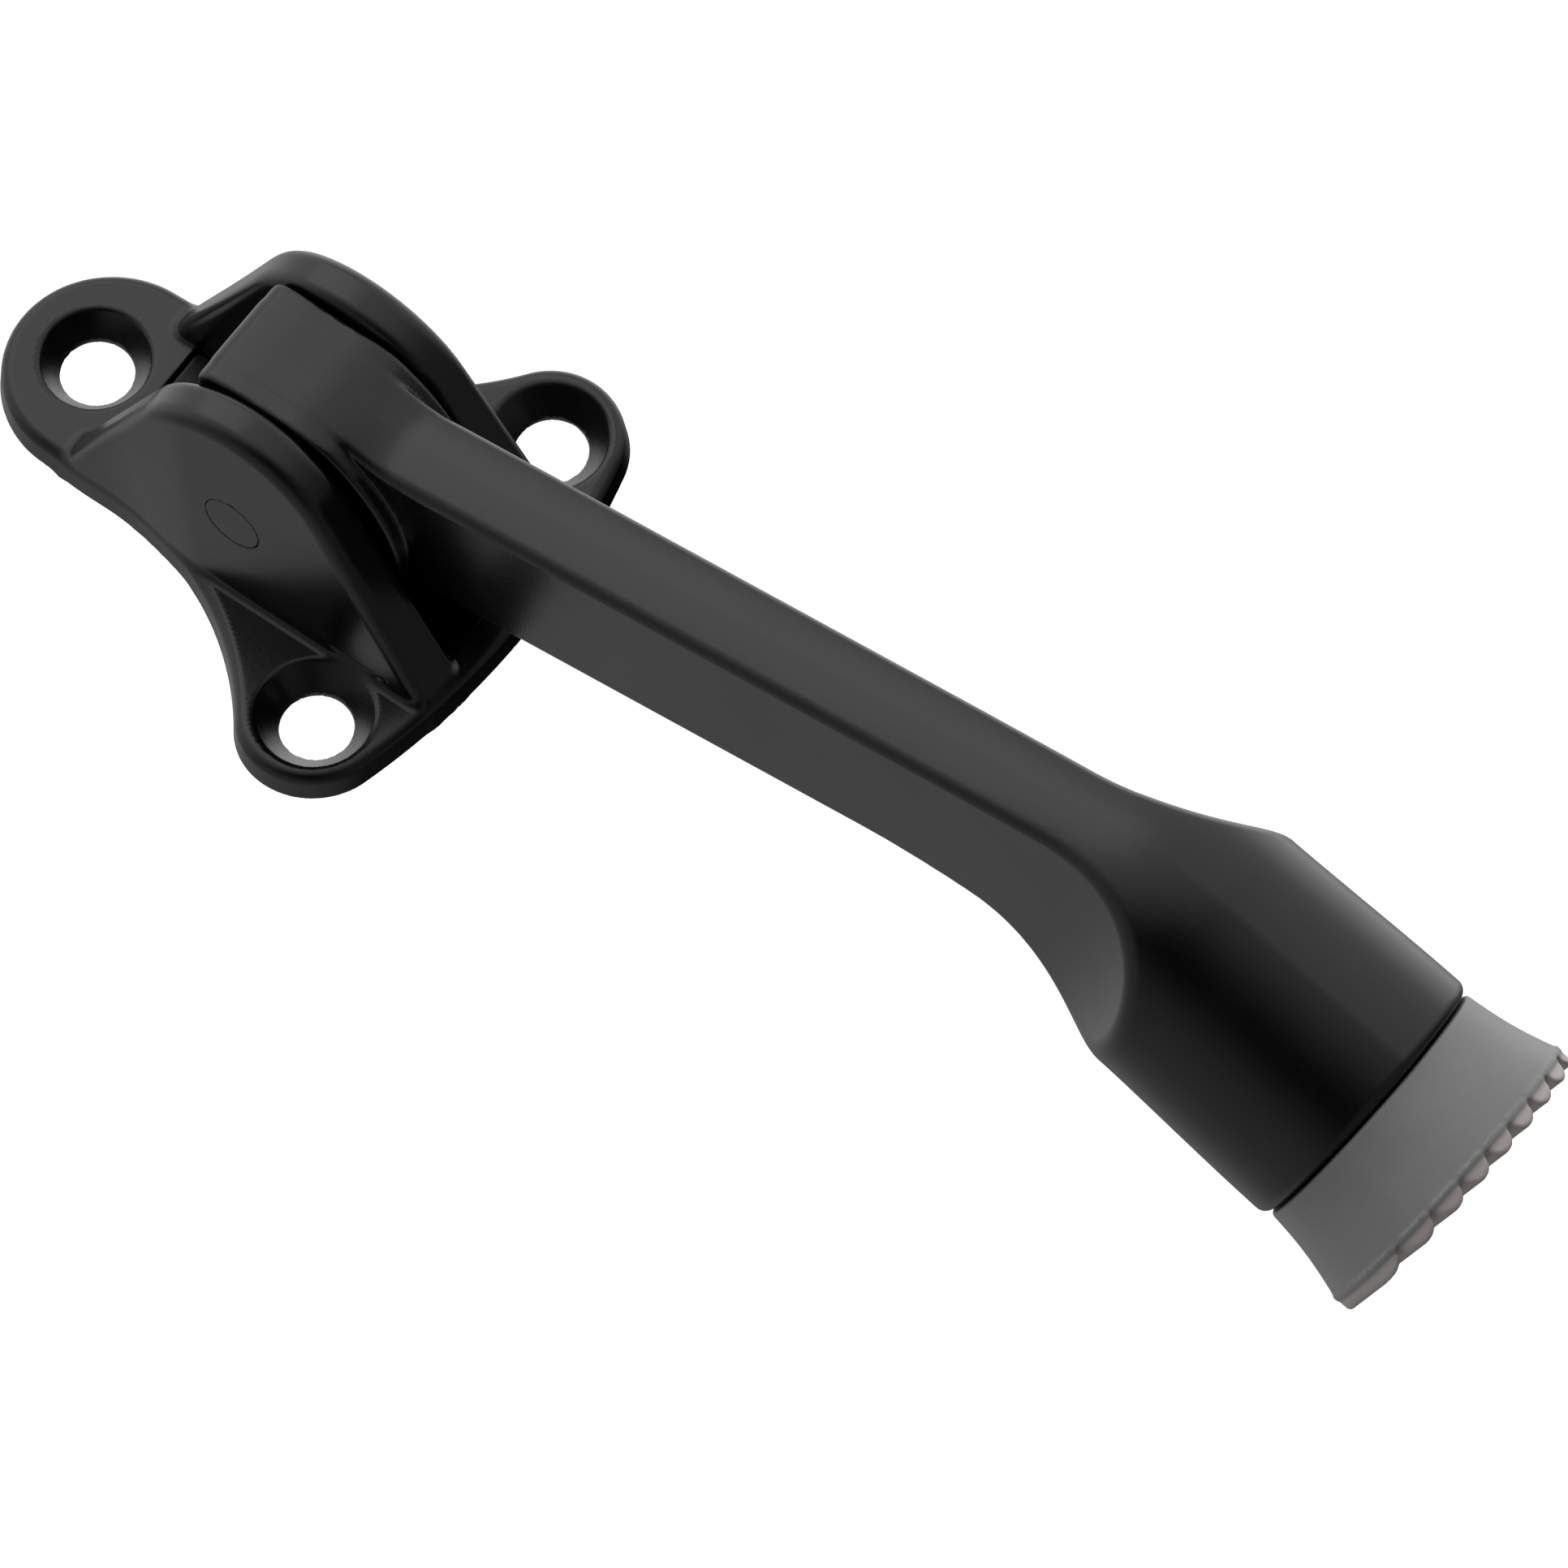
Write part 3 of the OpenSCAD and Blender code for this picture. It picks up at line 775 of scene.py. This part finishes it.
def build_pieces():
    black = satin_black()
    places = (
        (bracket_piece(black), "bracket_assembly", "bracket", "cast_black"),
        (pin_piece(black), "bracket_assembly", "pivot_pin", "cast_black"),
        (spring_piece(blued_steel()), "bracket_assembly", "leaf_spring", "spring_steel"),
        (lever_piece(black), "lever", "lever_arm", "cast_black"),
        (foot_piece(grey_rubber()), "lever", "rubber_foot", "grey_rubber"),
    )
    for piece, body, node, slot in places:
        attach(piece, body)
        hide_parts(node)
    zinc = zinc_plate()
    for node in ("foot_washer", "foot_screw"):
        paint_cad_node(node, zinc)


# ---------------------------------------------------------------- camera, light and floor
CAMERA_RIGHT = Vector((0.60437, 0.05427, -0.79485))
CAMERA_UP = Vector((0.71351, -0.48074, 0.50970))
CAMERA_BACK = Vector((-0.35446, -0.87518, -0.32927))
VIEW_WIDTH = 113.04 * MM
# So far away that the view is nearly parallel
CAMERA_DISTANCE = 5.0
SENSOR_WIDTH = 36
# Centre of the view, measured from the top screw hole along the camera's axes
VIEW_CENTRE = (49.72 * MM, -29.55 * MM, 26.0 * MM)


def set_camera():
    data = bpy.data.cameras.new("camera")
    data.sensor_width = SENSOR_WIDTH
    data.lens = SENSOR_WIDTH * CAMERA_DISTANCE / VIEW_WIDTH
    data.clip_start, data.clip_end = 0.1, 100
    camera = bpy.data.objects.new("camera", data)
    bpy.context.scene.collection.objects.link(camera)
    bpy.context.scene.camera = camera
    axes = (CAMERA_RIGHT, CAMERA_UP, CAMERA_BACK)
    centre = Vector((0, 0, TOP_HOLE_UP * MM))
    for axis, offset in zip(axes, VIEW_CENTRE):
        centre += axis * offset
    turn = Matrix(axes).transposed().to_4x4()
    camera.matrix_world = Matrix.Translation(centre + CAMERA_BACK * CAMERA_DISTANCE) @ turn


def set_world():
    """A white studio: bright above, in front and to the right, softer behind, dark below left."""
    world = bpy.data.worlds.new("studio")
    bpy.context.scene.world = world
    world.use_nodes = True
    nodes, links = world.node_tree.nodes, world.node_tree.links
    nodes.clear()
    direction = nodes.new("ShaderNodeTexCoord").outputs["Generated"]

    def lobe(axis, start, end, strength):
        """Light around an axis, by the cosine to it: none below start, all of it from end."""
        dot = nodes.new("ShaderNodeVectorMath")
        dot.operation = "DOT_PRODUCT"
        links.new(direction, dot.inputs[0])
        dot.inputs[1].default_value = Vector(axis).normalized()
        ramp = nodes.new("ShaderNodeMapRange")
        ramp.interpolation_type = "SMOOTHSTEP"
        ramp.inputs["From Min"].default_value = start
        ramp.inputs["From Max"].default_value = end
        ramp.inputs["To Max"].default_value = strength
        links.new(dot.outputs["Value"], ramp.inputs["Value"])
        return ramp.outputs["Result"]

    def add(a, b):
        total = nodes.new("ShaderNodeMath")
        total.operation = "ADD"
        links.new(a, total.inputs[0])
        links.new(b, total.inputs[1])
        return total.outputs[0]

    key = lobe((0.62, -0.45, 0.64), start=-0.2, end=0.7, strength=0.97)
    behind = lobe((-0.8, 0.55, 0.24), start=0.0, end=0.95, strength=0.38)
    below = lobe((0.2, -0.3, -0.93), start=0.35, end=1.0, strength=0.2)
    light = nodes.new("ShaderNodeBackground")
    light.inputs["Color"].default_value = (1, 1, 1, 1)
    links.new(add(add(key, behind), below), light.inputs["Strength"])
    white = nodes.new("ShaderNodeBackground")
    white.inputs["Color"].default_value = (1, 1, 1, 1)
    white.inputs["Strength"].default_value = 1.1
    mix = nodes.new("ShaderNodeMixShader")
    links.new(nodes.new("ShaderNodeLightPath").outputs["Is Camera Ray"], mix.inputs["Fac"])
    links.new(light.outputs[0], mix.inputs[1])
    links.new(white.outputs[0], mix.inputs[2])
    output = nodes.new("ShaderNodeOutputWorld")
    links.new(mix.outputs[0], output.inputs["Surface"])


def add_softbox(name, direction, distance, size, power):
    """A rectangular light that faces the origin."""
    data = bpy.data.lights.new(name, "AREA")
    data.shape = "RECTANGLE"
    data.size, data.size_y = size
    data.energy = power
    light = bpy.data.objects.new(name, data)
    bpy.context.scene.collection.objects.link(light)
    light.location = Vector(direction).normalized() * distance
    light.rotation_mode = "QUATERNION"
    light.rotation_quaternion = Vector(direction).to_track_quat("Z", "Y")
    light.visible_camera = False


def add_floor(height, half):
    mesh = bpy.data.meshes.new("floor")
    corners = [(x * half, y * half, height) for x, y in ((-1, -1), (1, -1), (1, 1), (-1, 1))]
    mesh.from_pydata(corners, [], [(0, 1, 2, 3)])
    floor = bpy.data.objects.new("floor", mesh)
    bpy.context.scene.collection.objects.link(floor)
    m = Nodes("pale_floor")
    m.link(m.mix(m.noise(0.05, detail=3), FLOOR_DARK, FLOOR_LIGHT), "Base Color")
    m.set(Roughness=0.8)
    mesh.materials.append(m.material)
    # The dark lower faces of the lever need a floor that throws no light back on them
    floor.visible_glossy = False
    floor.visible_diffuse = False


def set_stage():
    bpy.context.scene.view_settings.view_transform = "Standard"
    set_world()
    add_softbox("key_softbox", (0.3, -0.75, 0.62), distance=1.5, size=(1.2, 1.2), power=3.0)
    add_softbox("rim_softbox", (0.85, 0.3, 0.25), distance=1.5, size=(1.2, 1.4), power=2.0)
    add_floor(height=-1.8, half=12)


set_camera()
build_pieces()
set_stage()
